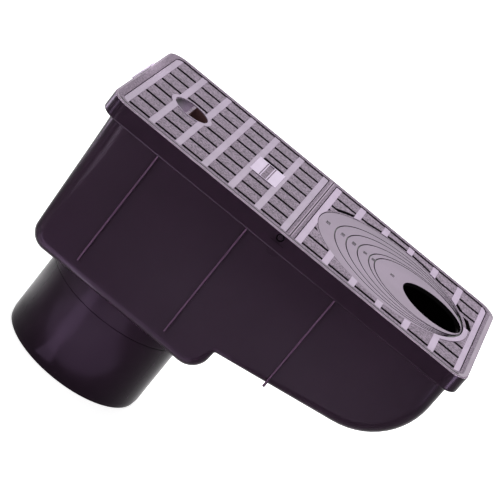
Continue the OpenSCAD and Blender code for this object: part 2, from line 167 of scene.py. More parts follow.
def loft(name, rings):
    """A closed solid through closed rings of equal length."""
    count = len(rings[0])
    faces = []
    for low in range(0, (len(rings) - 1) * count, count):
        high = low + count
        faces += [(low + k, low + (k + 1) % count, high + (k + 1) % count, high + k) for k in range(count)]
    faces.append(tuple(range(count)))
    faces.append(tuple((len(rings) - 1) * count + k for k in range(count)))
    return solid(name, [p for ring in rings for p in ring], faces)


def circle_ring(x, y, z, radius, steps=128):
    turns = [2 * math.pi * k / steps for k in range(steps)]
    return [at(x + radius * math.cos(t), y + radius * math.sin(t), z) for t in turns]


def upright_ring(x, y, z, radius, steps=48):
    """A ring that stands across the part, about an axis along y."""
    turns = [2 * math.pi * k / steps for k in range(steps)]
    return [at(x + radius * math.cos(t), y, z + radius * math.sin(t)) for t in turns]


def plan_ring(x0, x1, half, radius, z, steps=12):
    """Rectangle from x0 to x1, centred across, with round corners."""
    ring = []
    for quarter, (cx, cy) in enumerate([(x1 - radius, half - radius), (x0 + radius, half - radius),
                                        (x0 + radius, radius - half), (x1 - radius, radius - half)]):
        for k in range(steps + 1):
            t = math.radians(90 * (quarter + k / steps))
            ring.append(at(cx + radius * math.cos(t), cy + radius * math.sin(t), z))
    return ring


def join_solids(name, first, added, removed):
    """One closed moulding: the first solid with the added ones joined and the removed ones cut out."""
    for other, kind in [(o, "UNION") for o in added] + [(o, "DIFFERENCE") for o in removed]:
        step = first.modifiers.new(kind, "BOOLEAN")
        step.operation = kind
        step.solver = "MANIFOLD"
        step.object = other
    bpy.context.view_layer.update()
    shaped = first.evaluated_get(bpy.context.evaluated_depsgraph_get())
    mesh = bpy.data.meshes.new_from_object(shaped)
    mesh.name = name
    for spare in [first, *added, *removed]:
        bpy.data.objects.remove(spare)
    return link(bpy.data.objects.new(name, mesh))


def smooth_edges():
    """The node group that shades soft edges smooth and keeps sharp ones sharp."""
    found = bpy.data.node_groups.get("Soft edges")
    if found:
        return found
    group = bpy.data.node_groups.new("Soft edges", "GeometryNodeTree")
    for way in ("INPUT", "OUTPUT"):
        group.interface.new_socket("Geometry", in_out=way, socket_type="NodeSocketGeometry")
    nodes, links = group.nodes, group.links
    start, end = nodes.new("NodeGroupInput"), nodes.new("NodeGroupOutput")
    merge = nodes.new("GeometryNodeMergeByDistance")
    merge.inputs["Distance"].default_value = 1e-6
    angle = nodes.new("GeometryNodeInputMeshEdgeAngle")
    soft = nodes.new("FunctionNodeCompare")
    soft.operation = "LESS_THAN"
    soft.inputs[1].default_value = math.radians(32)
    faces, edges = nodes.new("GeometryNodeSetShadeSmooth"), nodes.new("GeometryNodeSetShadeSmooth")
    edges.domain = "EDGE"
    links.new(start.outputs[0], merge.inputs["Geometry"])
    links.new(merge.outputs[0], faces.inputs["Geometry"])
    links.new(faces.outputs[0], edges.inputs["Geometry"])
    links.new(angle.outputs["Unsigned Angle"], soft.inputs[0])
    links.new(soft.outputs[0], edges.inputs["Shade Smooth"])
    links.new(edges.outputs[0], end.inputs[0])
    return group


def soften(obj, rounding=0.0):
    """Smooth shading with crisp edges, and a fine rounding on them."""
    obj.modifiers.new("Soft edges", "NODES").node_group = smooth_edges()
    if rounding:
        bevel = obj.modifiers.new("Rounding", "BEVEL")
        bevel.limit_method = "ANGLE"
        bevel.angle_limit = math.radians(35)
        bevel.width = rounding
        bevel.segments = 2
        bevel.use_clamp_overlap = False
    weigh = obj.modifiers.new("Flat faces", "WEIGHTED_NORMAL")
    weigh.keep_sharp = True
    return obj


# ---- materials ----

def node(tree, kind, inputs=None, **settings):
    """Adds a shader node; inputs maps a socket's name or number to a value or to another node's output."""
    made = tree.nodes.new("ShaderNode" + kind)
    for key, value in settings.items():
        setattr(made, key, value)
    for key, value in (inputs or {}).items():
        if isinstance(value, bpy.types.NodeSocket):
            tree.links.new(value, made.inputs[key])
        else:
            made.inputs[key].default_value = value
    return made


def new_material(name, **fixed):
    """A material with one shader, whose even values are set on its own sockets."""
    material = bpy.data.materials.new(name)
    material.use_nodes = True
    tree = material.node_tree
    surface = tree.nodes["Principled BSDF"]
    for key, value in fixed.items():
        surface.inputs[key.replace("_", " ")].default_value = value
    place = node(tree, "TexCoord").outputs["Object"]
    return material, tree, surface, place


def mix_colour(tree, share, a, b):
    return node(tree, "Mix", {0: share, 6: a, 7: b}, data_type="RGBA").outputs[2]


def noise(tree, place, size, detail=3, roughness=0.55):
    """Noise whose features are about size metres across."""
    wanted = {"Vector": place, "Scale": 1 / size, "Detail": detail, "Roughness": roughness}
    return node(tree, "TexNoise", wanted).outputs[0]


def spread(tree, value, low, high, out_low, out_high):
    """The value's stretch from low to high, stretched to reach from out_low to out_high."""
    made = node(tree, "MapRange", {0: value, 1: low, 2: high, 3: out_low, 4: out_high})
    return made.outputs[0]


def more(tree, value, limit):
    """1 where the value lies above the limit."""
    return node(tree, "Math", {0: value, 1: limit}, operation="GREATER_THAN").outputs[0]


def both(tree, a, b):
    """1 where both are 1."""
    return node(tree, "Math", {0: a, 1: b}, operation="MULTIPLY").outputs[0]


def band(tree, value, middle, half):
    """1 where the value lies within half of the middle."""
    return node(tree, "Math", {0: value, 1: middle, 2: half}, operation="COMPARE").outputs[0]


def rgba(value, gain=1.0):
    return (value[0] * gain, value[1] * gain, value[2] * gain, 1)


def satin_plastic(name, tone, roughness, specular, sheen=(1, 1, 1, 1), ripple=0.02):
    """Smooth moulded plastic: a faint flow in its tone and gloss, and a fine orange peel."""
    material, tree, surface, place = new_material(name, Specular_IOR_Level=specular, Specular_Tint=sheen)
    flow = noise(tree, place, 0.045, 2)
    fine = noise(tree, place, 0.0016, 3)
    tree.links.new(mix_colour(tree, spread(tree, flow, 0.35, 0.65, 0, 1), rgba(tone, 0.94), rgba(tone, 1.07)),
                   surface.inputs["Base Color"])
    tree.links.new(spread(tree, noise(tree, place, 0.02, 4), 0.3, 0.7, roughness - 0.03, roughness + 0.03),
                   surface.inputs["Roughness"])
    tree.links.new(node(tree, "Bump", {"Strength": 0.5, "Distance": ripple * MM, "Height": fine}).outputs[0],
                   surface.inputs["Normal"])
    return material


def body_plastic(look):
    """The body's satin plastic, with painted shade in the recess round each frame pin and a painted highlight
    along each rib's crest.
    """
    material = satin_plastic("Dark satin plastic", look.body, 0.22, 0.04, (0.92, 0.74, 1, 1))
    tree = material.node_tree
    surface = tree.nodes["Principled BSDF"]
    place = node(tree, "TexCoord").outputs["Object"]
    flat = node(tree, "VectorMath", {0: place, 1: (1, 0, 1)}, operation="MULTIPLY").outputs[0]
    reach = node(tree, "VectorMath", {0: flat, 1: at(PIN_X, 0, PIN_Z)}, operation="DISTANCE").outputs["Value"]
    plain = surface.inputs["Base Color"].links[0].from_socket
    # painted shade: near black within the recess round each pin's head
    shaded = more(tree, (PIN_RECESS + 0.15) * MM, reach)
    tone = mix_colour(tree, shaded, plain, rgba(look.body, 0.05))
    axes = node(tree, "SeparateXYZ", {0: place}).outputs
    # painted highlight: a pale band down each rib's crest, from the collar to the rib's lower end
    for x, low in RIBS:
        crest = band(tree, axes["X"], at(x - 0.3, 0, 0).x, 0.6 * MM)
        run = band(tree, axes["Z"], at(0, 0, (low + COLLAR_BOTTOM) / 2).z, (COLLAR_BOTTOM - low) / 2 * MM)
        tone = mix_colour(tree, both(tree, crest, run), tone, rgba(look.body, 5))
    tree.links.new(tone, surface.inputs["Base Color"])
    return material


def rough_tone(tree, place, tone, grain):
    """Mottled tone and height of a spark-eroded surface."""
    clouds = spread(tree, noise(tree, place, grain, 2, 0.7), 0.36, 0.64, 0, 1)
    pits = node(tree, "TexVoronoi", {"Vector": place, "Scale": 2.2 / grain}).outputs["Distance"]
    height = both(tree, clouds, spread(tree, pits, 0, 0.5, 0.4, 1))
    return mix_colour(tree, clouds, rgba(tone, 0.5), rgba(tone, 1.52)), height


def flowing_tone(tree, place, tone, size=0.03):
    """A tone that drifts faintly, as the plastic flowed in its mould."""
    flow = spread(tree, noise(tree, place, size, 2), 0.35, 0.65, 0, 1)
    return mix_colour(tree, flow, rgba(tone, 0.92), rgba(tone, 1.08))


def finish_plastic(tree, surface, tone, rough, height):
    """Sets the tone; where rough is 1 the surface is dull and pitted."""
    tree.links.new(tone, surface.inputs["Base Color"])
    tree.links.new(spread(tree, rough, 0, 1, 0.42, 0.75), surface.inputs["Roughness"])
    depth = both(tree, height, spread(tree, rough, 0, 1, 0.05, 1))
    tree.links.new(node(tree, "Bump", {"Strength": 0.6, "Distance": 0.15 * MM, "Height": depth}).outputs[0],
                   surface.inputs["Normal"])


# millimetres below the cover's top, just under the faces of the slats, the bars and the bare plate
SLATS_DOWN, BARS_DOWN, PLATE_DOWN = 1.3, 0.8, 0.5
# finger pull of the inspection grate: its middle along the cover and the radius of its well
PULL_X, PULL_RADIUS = 42.9, 13.7


def cover_inset(tree, place):
    """Distance inwards from the cover's rounded outer edge, counted as far as its corner radius."""
    middle = at(COVER_LENGTH / 2, 0, 0)
    reach = Vector(((COVER_LENGTH / 2 - COVER_ROUND) * MM, (COVER_HALF - COVER_ROUND) * MM, 0))
    centred = node(tree, "VectorMath", {0: place, 1: middle}, operation="SUBTRACT").outputs[0]
    flat = node(tree, "VectorMath", {0: centred, 1: (1, 1, 0)}, operation="MULTIPLY").outputs[0]
    folded = node(tree, "VectorMath", {0: flat}, operation="ABSOLUTE").outputs[0]
    past = node(tree, "VectorMath", {0: folded, 1: reach}, operation="SUBTRACT").outputs[0]
    corner = node(tree, "VectorMath", {0: past, 1: (0, 0, 0)}, operation="MAXIMUM").outputs[0]
    out = node(tree, "VectorMath", {0: corner}, operation="LENGTH").outputs["Value"]
    return node(tree, "Math", {0: COVER_ROUND * MM, 1: out}, operation="SUBTRACT").outputs[0]


def frame_plastic(look, cover):
    """A smooth rim with a fine line inside it, a rough band, two ridges across and inner walls in painted
    shade.
    """
    material, tree, surface, place = new_material("Frame plastic", Specular_IOR_Level=0.2)
    axes = node(tree, "SeparateXYZ", {0: place}).outputs
    inset = cover_inset(tree, place)
    mottled, height = rough_tone(tree, place, look.slats, cover.grain)
    far_side = more(tree, axes["Y"], (COVER_HALF - 14) * MM)
    near_side = more(tree, (6 - COVER_HALF) * MM, axes["Y"])
    downpipe_end = more(tree, axes["X"], at(COVER_LENGTH - 7, 0, 0).x)
    smooth = mix_colour(tree, far_side, flowing_tone(tree, place, look.rim), rgba(look.rim, 0.72))
    wider = both(tree, downpipe_end, cover.end_rim - cover.smooth_rim)
    edge = node(tree, "Math", {0: wider, 1: cover.smooth_rim}, operation="ADD").outputs[0]
    inner = more(tree, inset, edge)
    tone = mix_colour(tree, inner, smooth, mottled)

    past = node(tree, "Math", {0: inset, 1: edge}, operation="SUBTRACT").outputs[0]
    fine_line = both(tree, near_side, band(tree, past, 0.7 * MM, 0.9 * MM))
    tone = mix_colour(tree, fine_line, tone, rgba(look.slats, 0.3))

    tab_root = both(tree, band(tree, axes["X"], at(0.9, 0, 0).x, 0.35 * MM),
                    band(tree, axes["Y"], 0, cover.tab_length / 2))
    tone = mix_colour(tree, tab_root, tone, rgba(look.slats, 0.35))
    tab = more(tree, at(0.3, 0, 0).x, axes["X"])
    tone = mix_colour(tree, tab, tone, rgba(look.plate, 0.9))

    crossbar = more(tree, inset, 6 * MM)
    crossbar_x = at(COVER_LENGTH / 2, 0, 0).x
    ridges = both(tree, crossbar, band(tree, axes["X"], crossbar_x, 1.1 * MM))
    tone = mix_colour(tree, ridges, tone, rgba(look.rim, 1.35))
    seam = both(tree, crossbar, band(tree, axes["X"], crossbar_x, 0.4 * MM))
    tone = mix_colour(tree, seam, tone, rgba(look.slats, 0.35))

    # painted shade: inner walls below the top, away from the outer edge and the left end, take the shade
    # colour
    walls = both(tree, more(tree, COVER_TOP - 0.3 * MM, axes["Z"]), more(tree, inset, 4 * MM))
    walls = both(tree, walls, more(tree, axes["X"], at(7.5, 0, 0).x))
    tone = mix_colour(tree, walls, tone, rgba(look.shade))
    finish_plastic(tree, surface, tone, inner, height)
    return material


def grate_plastic(name, look, cover, gain, pull_radius):
    """Rough slats, smooth bars, a bright plate, slot walls in painted shade and, where there is one, a finger
    pull with painted light and shade in its scoop and pocket.
    """
    material, tree, surface, place = new_material(name, Specular_IOR_Level=0.35)
    axes = node(tree, "SeparateXYZ", {0: place}).outputs
    # gain brightens the slats and the bars: painted light on a grate where more light falls
    mottled, height = rough_tone(tree, place, [c * gain ** 0.4 for c in look.slats], cover.grain)
    slats, bars, plate = [more(tree, axes["Z"], COVER_TOP - down * MM)
                          for down in (SLATS_DOWN, BARS_DOWN, PLATE_DOWN)]
    # painted shade: everything below the slats' faces, the walls inside the slots, takes the shade colour
    tone = mix_colour(tree, slats, rgba(look.shade), mottled)
    tone = mix_colour(tree, bars, tone, flowing_tone(tree, place, [c * gain for c in look.bars]))
    tone = mix_colour(tree, plate, tone, flowing_tone(tree, place, look.plate))
    if pull_radius:
        pull_x = at(PULL_X, 0, 0).x
        centred = node(tree, "VectorMath", {0: place, 1: (pull_x, 0, 0)}, operation="SUBTRACT").outputs[0]
        flat = node(tree, "VectorMath", {0: centred, 1: (1, 1, 0)}, operation="MULTIPLY").outputs[0]
        reach = node(tree, "VectorMath", {0: flat}, operation="LENGTH").outputs["Value"]
        well = both(tree, more(tree, pull_radius, reach), more(tree, COVER_TOP - SLATS_DOWN * MM, axes["Z"]))
        # painted light and shade: the scoop runs from dark at its left edge to bright by the divider, and the
        # pocket beyond the divider takes the painted shade of the pocket colour
        depth = spread(tree, axes["X"], pull_x - 0.8 * pull_radius, pull_x - 3 * MM, 0, 1)
        scoop = mix_colour(tree, depth, rgba(look.slats, 0.22), rgba(look.bars))
        lining = mix_colour(tree, more(tree, axes["X"], pull_x + 0.6 * MM), scoop, rgba(look.pocket))
        tone = mix_colour(tree, well, tone, lining)
    rough = node(tree, "Math", {0: 1.0, 1: bars}, operation="SUBTRACT").outputs[0]
    finish_plastic(tree, surface, tone, rough, height)
    return material


def ring_plastic(look):
    """Satin rings with painted shade in the grooves between them, a little deeper in tone across the far
    side.
    """
    material, tree, surface, place = new_material("Ring plastic", Specular_IOR_Level=0.3, Roughness=0.45)
    axes = node(tree, "SeparateXYZ", {0: place}).outputs
    top = more(tree, axes["Z"], RINGS_TOP - 0.1 * MM)
    far_side = spread(tree, axes["Y"], 15 * MM, 60 * MM, 0, 1)
    rings = mix_colour(tree, far_side, flowing_tone(tree, place, look.disc, 0.05), rgba(look.disc, 0.76))
    # painted shade: below the rings' top, the grooves take a dark shade colour
    tree.links.new(mix_colour(tree, top, rgba(look.shade, 0.4), rings), surface.inputs["Base Color"])
    peel = node(tree, "Bump", {"Strength": 0.3, "Distance": 0.05 * MM, "Height": noise(tree, place, 0.0008)})
    tree.links.new(peel.outputs[0], surface.inputs["Normal"])
    return material


def drawn_steel(name):
    """Bright rod steel with fine lines drawn along it."""
    material, tree, surface, place = new_material(name, Metallic=1.0)
    along = node(tree, "Mapping", {"Vector": place, "Scale": (1, 0.05, 1)}).outputs[0]
    lines = noise(tree, along, 0.0002, 4)
    tree.links.new(mix_colour(tree, lines, (0.42, 0.42, 0.43, 1), (0.66, 0.66, 0.67, 1)),
                   surface.inputs["Base Color"])
    tree.links.new(spread(tree, lines, 0.3, 0.7, 0.25, 0.42), surface.inputs["Roughness"])
    return material


def soft_rubber(name, tone):
    """Dull rubber with a little dust on it."""
    material, tree, surface, place = new_material(name, Specular_IOR_Level=0.3)
    dust = noise(tree, place, 0.003, 4)
    tree.links.new(mix_colour(tree, dust, rgba(tone), rgba(tone, 2.2)), surface.inputs["Base Color"])
    tree.links.new(spread(tree, dust, 0.3, 0.7, 0.6, 0.8), surface.inputs["Roughness"])
    tree.links.new(node(tree, "Bump", {"Strength": 0.3, "Distance": 0.03 * MM, "Height": dust}).outputs[0],
                   surface.inputs["Normal"])
    return material


def paint_over(obj, material):
    obj.data.materials.clear()
    obj.data.materials.append(material)
    return obj


# ---- the body's own shapes ----

# millimetres: heights count up from the cover's top, places along from its left end
FLOOR_Z = -123.5
COLLAR_BOTTOM = -14.4
COLLAR_TOP = -1.0
COLLAR_WALL = 2.8
CHAMBER_TOP = -12.4
HALF_AT_TOP = 79.5
DRAFT = 0.055
PIN_X, PIN_Z = 146, -4.2
PIN_RECESS = 2.8
# outline of the chambers seen from the side: x, z and the radius of each corner; -1 takes the notch radius
SIDE_CORNERS = [(6.6, CHAMBER_TOP, 0), (12.5, FLOOR_Z, 14), (159.2, FLOOR_Z, 15.5), (160.48, -100.3, -1),
                (293.9, -79.2, 51.5), (294.5, CHAMBER_TOP, 0)]
ROUND_STEPS = 8


def clamp(value):
    return min(1, max(0, value))


def half_width(z):
    """Half the chambers' width at height z, by the draft of their walls."""
    return HALF_AT_TOP + DRAFT * (z - CHAMBER_TOP)


def edge_radius(sizes, x, z):
    """Radius of the long edges: large by the collar, smaller below, least where the sloped floor starts."""
    if x > 158:
        low = sizes.slope_round + (sizes.lower_round - sizes.slope_round) * clamp((-101 - z) / 14)
        low += (sizes.upper_round - sizes.slope_round) * 0.6 * clamp((x - 165) / 105)
        high = clamp((z + 78) / 50)
    else:
        low, high = sizes.lower_round, clamp((z + 100) / 60)
    return (low + (sizes.upper_round - low) * high) / MM


def rounded_path(corners, notch):
    """Points and outward normals along the side outline, with each corner rounded by its radius."""
    path = []
    here = [Vector(c[:2]) for c in corners]
    for k, (x, z, radius) in enumerate(corners):
        point = Vector((x, z))
        if not radius:
            leg = (here[1] - here[0]) if k == 0 else (here[-1] - here[-2])
            path.append((point, Vector((leg.y, -leg.x)).normalized()))
            continue
        radius = notch if radius < 0 else radius
        back, ahead = (here[k - 1] - point).normalized(), (here[k + 1] - point).normalized()
        half = back.angle(ahead) / 2
        centre = point + (back + ahead).normalized() * (radius / math.sin(half))
        arriving, leaving = here[k] - here[k - 1], here[k + 1] - here[k]
        convex = arriving.x * leaving.y - arriving.y * leaving.x > 0
        first = point + back * (radius / math.tan(half)) - centre
        last = point + ahead * (radius / math.tan(half)) - centre
        steps = max(6, round(math.degrees(math.pi - 2 * half) / 6))
        turn = math.atan2(first.x * last.y - first.y * last.x, first.dot(last))
        for s in range(steps + 1):
            spoke = Matrix.Rotation(turn * s / steps, 2) @ first
            path.append((centre + spoke, spoke.normalized() * (1 if convex else -1)))
    filled = [path[0]]
    for (a, na), (b, nb) in zip(path, path[1:]):
        pieces = max(1, round((b - a).length / 12))
        for s in range(1, pieces + 1):
            filled.append((a.lerp(b, s / pieces), na.lerp(nb, s / pieces).normalized()))
    return filled


def chamber(name, sizes, inset, top):
    """The deep and the sloped chamber as one rounded, drafted solid; inset makes the space inside it."""
    corners = list(SIDE_CORNERS)
    corners[0], corners[-1] = (corners[0][0], top, 0), (corners[-1][0], top, 0)
    path = rounded_path(corners, sizes.notch_round / MM)
    rows = []
    for point, normal in path:
        edge = edge_radius(sizes, point.x, point.y) - inset
        side = []
        for s in range(ROUND_STEPS + 1):
            a = math.pi / 2 * (1 - s / ROUND_STEPS)
            spot = point - normal * (inset + edge * (1 - math.cos(a)))
            side.append((spot, half_width(spot.y) - inset - edge * (1 - math.sin(a))))
        rows.append([at(p.x, -h, p.y) for p, h in side] + [at(p.x, h, p.y) for p, h in reversed(side)])
    width, count = len(rows[0]), len(rows)
    faces = [(r * width + k, r * width + k + 1, (r + 1) * width + k + 1, (r + 1) * width + k)
             for r in range(count - 1) for k in range(width - 1)]
    faces.append(tuple(r * width for r in range(count)))
    faces.append(tuple(r * width + width - 1 for r in range(count)))
    faces.append(tuple(range(width)) + tuple((count - 1) * width + k for k in reversed(range(width))))
    return solid(name, [p for row in rows for p in row], faces)


def slope_floor(x):
    """Height of the sloped floor at x."""
    (x0, z0, _), (x1, z1, _) = SIDE_CORNERS[3], SIDE_CORNERS[4]
    return z0 + (z1 - z0) * (x - x0) / (x1 - x0)


# place along and lower end of each rib on the long sides
RIBS = [(49.9, -110), (125.3, -110), (200.1, slope_floor(200.1) - 1.2)]


def side_rib(x, low, side, sizes):
    """A thin rib down one long side, with a rounded outer edge and a cut-off lower end."""
    half, out = sizes.rib_width / MM / 2, sizes.rib_height / MM
    rings = []
    for z, reach in [(CHAMBER_TOP - 1, out), (low + 1.4, out), (low, out - 0.8)]:
        y = half_width(z)
        outline = [(-half, y - 1.6)]
        outline += [(-half * math.cos(t), y + reach - half + half * math.sin(t))
                    for t in (math.pi * k / 10 for k in range(11))]
        outline.append((half, y - 1.6))
        rings.append([at(x + dx, side * dy, z) for dx, dy in outline])
    return loft("rib", rings)


def cover_ring(inset, z):
    """The cover's outline, moved inwards by inset."""
    return plan_ring(inset, COVER_LENGTH - inset, COVER_HALF - inset, COVER_ROUND - inset, z)


def collar_and_spigot(sizes):
    """The collar with its rounded lower edge, and the spigot with a chamfered end and a line round it."""
    edge = sizes.collar_round / MM
    bend = [(edge * (1 - math.sin(math.radians(t))), COLLAR_BOTTOM + edge * (1 - math.cos(math.radians(t))))
            for t in range(0, 91, 15)]
    collar = loft("collar", [cover_ring(inset, z) for inset, z in bend + [(0, COLLAR_TOP)]])
    chamfer = [(53.9, -TOTAL_HEIGHT), (54.2, -TOTAL_HEIGHT + 0.3), (55, -TOTAL_HEIGHT + 4.6)]
    fine_line = [(55, -141.2), (54.6, -140.9), (54.6, -140.5), (55.4, -140.3), (55.6, -139.9)]
    spigot = loft("spigot", [circle_ring(OUTLET_X, 0, z, radius)
                             for radius, z in chamfer + fine_line + [(55.6, FLOOR_Z + 1.2)]])
    return [collar, spigot]


def pin_boss(side):
    """The half round boss under the collar, below a frame pin."""
    steps = [(4.5, 77.6), (4.5, 80.4), (4.3, 80.8), (3.9, 81.0)]
    return loft("boss", [upright_ring(PIN_X + 1.5, side * y, -14.6, r) for r, y in steps])


def pin_recesses(side):
    """The shallow panel in the collar, the recess for the pin's head and the pin's hole."""
    corners = [(-5.65, -3.6), (5.65, -3.6), (5.65, 3.6), (-5.65, 3.6)]
    outside = COVER_HALF + 1
    panel = [[at(PIN_X + dx, side * y, PIN_Z - 0.4 + dz) for dx, dz in corners] for y in (83.2, outside)]
    return [loft("panel", panel),
            loft("head", [upright_ring(PIN_X, side * y, PIN_Z, PIN_RECESS) for y in (82.4, outside)]),
            loft("hole", [upright_ring(PIN_X, side * y, PIN_Z, 1.65) for y in (78, outside)])]


def make_body(sizes):
    added = collar_and_spigot(sizes)
    removed = [chamber("space", sizes, sizes.wall / MM, -7),
               loft("recess", [cover_ring(COLLAR_WALL, z) for z in (-10, 1)]),
               loft("bore", [circle_ring(OUTLET_X, 0, z, 51.6) for z in (-TOTAL_HEIGHT - 1, FLOOR_Z + 5)])]
    for side in (-1, 1):
        added += [side_rib(x, low, side, sizes) for x, low in RIBS] + [pin_boss(side)]
        removed += pin_recesses(side)
    return join_solids("gully_body", chamber("chambers", sizes, 0, CHAMBER_TOP), added, removed)


# each pipe size on the ring plate, and its place along the cover
PIPE_SIZES = [("125", 164.8), ("110", 177.8), ("100", 187.6), ("90", 197.6), ("80", 205), ("75", 221.8)]


def sizes_on_plate(cover):
    """The pipe sizes as low raised figures along the middle of the ring plate, joined into one mesh."""
    plate_top = round((RINGS_TOP - COVER_TOP) / MM, 3)
    parts = []
    for text, x in PIPE_SIZES:
        figures = bpy.data.curves.new("mark_" + text, "FONT")
        figures.body = text
        figures.size = cover.mark_size
        figures.align_x, figures.align_y = "CENTER", "CENTER"
        figures.extrude = cover.mark_relief
        figures.offset = cover.mark_weight
        spare = link(bpy.data.objects.new("mark_" + text, figures))
        quarter_turn = Matrix.Rotation(math.radians(90), 4, "Z")
        spare.matrix_world = Matrix.Translation(at(x, 0, plate_top)) @ quarter_turn
        bpy.context.view_layer.update()
        mesh = bpy.data.meshes.new_from_object(spare.evaluated_get(bpy.context.evaluated_depsgraph_get()))
        mesh.transform(spare.matrix_world)
        parts.append(mesh)
        bpy.data.objects.remove(spare)
    work = bmesh.new()
    for mesh in parts:
        work.from_mesh(mesh)
    bmesh.ops.remove_doubles(work, verts=work.verts, dist=1e-7)
    joined = bpy.data.meshes.new("ring_marks")
    work.to_mesh(joined)
    work.free()
    return link(bpy.data.objects.new("ring_marks", joined))


# ---- the studio ----

# name, azimuth and elevation in degrees (azimuth 0 is the camera's side), distance, aim, width, height, watts
SOFTBOXES = [("back_softbox", 180, 45, 1.6, (0.06, 0, 0.1), 1.0, 1.0, 17)]
# the same for the strips that only the dark plastic mirrors; at -89.9 degrees a strip lies on the floor
STRIPS = [
    ("left_strip", -60, 0, 0.35, (-0.07, -0.05, 0.1), 0.06, 0.14, 0.53),
    ("back_left_strip", -110, 0, 0.35, (-0.07, -0.05, 0.1), 0.10, 0.14, 1.1),
    ("right_strip", 60, 0, 0.40, (0.19, -0.05, 0.12), 0.10, 0.14, 2.2),
    ("spigot_strip_near", -30, -89.9, 0.198, (-0.034, -0.087, 0.2), 0.020, 0.060, 0.026),
    ("spigot_strip_far", -30, -89.9, 0.198, (-0.071, -0.152, 0.2), 0.048, 0.110, 0.115),
    ("spigot_sheet", 0, -89.9, 0.197, (-0.01, -0.14, 0.2), 0.22, 0.13, 0.5),
]
STRIP_COLOUR = (0.90, 0.76, 1.0)
# name, place on the floor, radius, watts: pools of light that the glossy walls mirror
POOLS = [
    ("pool_behind", -0.13, 0.02, 0.06, 110),
    ("pool_left", -0.22, -0.42, 0.13, 1280),
    ("pool_right", 0.48, -0.45, 0.22, 180),
    ("pool_front", 0.08, -0.30, 0.14, 200),
    ("pool_front_right", 0.22, -0.34, 0.16, 260),
    ("pool_near", 0.0, -0.14, 0.05, 110),
    ("pool_middle", 0.0, -0.24, 0.13, 60),
    ("pool_below", -0.02, -0.38, 0.14, 110),
    ("pool_spigot", -0.18, -0.17, 0.11, 220),
]
POOL_HEIGHT = 1.2
FLOOR_REACH, FLOOR_THICKNESS = 6, 0.02


def make_floor(tone, glow):
    """A wide pale slab under the gully."""
    outline = [(-FLOOR_REACH, -FLOOR_REACH), (FLOOR_REACH, -FLOOR_REACH),
               (FLOOR_REACH, FLOOR_REACH), (-FLOOR_REACH, FLOOR_REACH)]
    floor = solid("floor", [(x, y, z) for z in (-FLOOR_THICKNESS, 0) for x, y in outline],
                  [(0, 1, 2, 3), (4, 5, 6, 7), (0, 1, 5, 4), (1, 2, 6, 5), (2, 3, 7, 6), (3, 0, 4, 7)])
    material, tree, surface, place = new_material("Studio floor", Roughness=0.9, Specular_IOR_Level=0.1,
                                                  Emission_Color=(1, 1, 1, 1), Emission_Strength=glow)
    tree.links.new(mix_colour(tree, noise(tree, place, 0.4, 2), rgba(tone, 0.99), rgba(tone)),
                   surface.inputs["Base Color"])
    return paint_over(floor, material)


def add_softbox(name, azimuth, elevation, distance, aim, width, height, watts):
    """A square-edged lamp, seen in reflections but not by the camera."""
    lamp = bpy.data.lights.new(name, "AREA")
    lamp.shape, lamp.size, lamp.size_y, lamp.energy = "RECTANGLE", width, height, watts
    a, e = math.radians(azimuth), math.radians(elevation)
    away = Vector((math.sin(a) * math.cos(e), -math.cos(a) * math.cos(e), math.sin(e)))
    obj = link(bpy.data.objects.new(name, lamp))
    obj.location = Vector(aim) + away * distance
    obj.rotation_euler = away.to_track_quat("Z", "Y").to_euler()
    obj.visible_camera = False
    return obj


def add_pool(name, x, y, radius, watts):
    """A round pool of light on the floor, from a spotlight straight above it."""
    lamp = bpy.data.lights.new(name, "SPOT")
    lamp.energy, lamp.shadow_soft_size, lamp.spot_blend = watts, 0.02, 1.0
    lamp.spot_size = 2 * math.atan(radius / POOL_HEIGHT)
    link(bpy.data.objects.new(name, lamp)).location = (x, y, POOL_HEIGHT)


def place_camera(scene, studio):
    """The camera at its distance from the point that it looks at, turned about its own axis."""
    camera = link(bpy.data.objects.new("camera", bpy.data.cameras.new("camera")))
    camera.data.lens, camera.data.sensor_width = studio.lens, 36
    ahead = Vector((-math.sin(studio.azimuth) * math.cos(studio.elevation),
                    math.cos(studio.azimuth) * math.cos(studio.elevation), -math.sin(studio.elevation)))
    level = ahead.cross(Vector((0, 0, 1))).normalized()
    above = level.cross(ahead)
    up = math.cos(studio.roll) * above - math.sin(studio.roll) * level
    turned = Matrix((ahead.cross(up), up, -ahead)).transposed().to_4x4()
    turned.translation = Vector((studio.aim_x, 0, studio.aim_z)) - ahead * studio.distance
    camera.matrix_world = turned
    scene.camera = camera


# ---- operators ----

class GULLY_OT_body(bpy.types.Operator):
    """Builds the moulded body with its collar, ribs and outlet"""
    bl_idname = "gully.body"
    bl_label = "Body"

    def execute(self, context):
        look = context.scene.gully_colours
        piece = soften(make_body(context.scene.gully_body))
        paint_over(piece, body_plastic(look))
        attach(piece, "gully")
        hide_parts("body")
        pins = satin_plastic("Dark pin plastic", look.body, 0.3, 0.04)
        for name in ("near_frame_pin", "far_frame_pin"):
            paint_over(soften(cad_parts[name], 0.1 * MM), pins)
        return {"FINISHED"}


class GULLY_OT_cover_frame(bpy.types.Operator):
    """Gives the cover's frame fine edges and a grained finish"""
    bl_idname = "gully.cover_frame"
    bl_label = "Cover frame"

    def execute(self, context):
        cover, look = context.scene.gully_cover, context.scene.gully_colours
        piece = soften(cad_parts["cover_frame"], cover.edge)
        paint_over(piece, frame_plastic(look, cover))
        return {"FINISHED"}


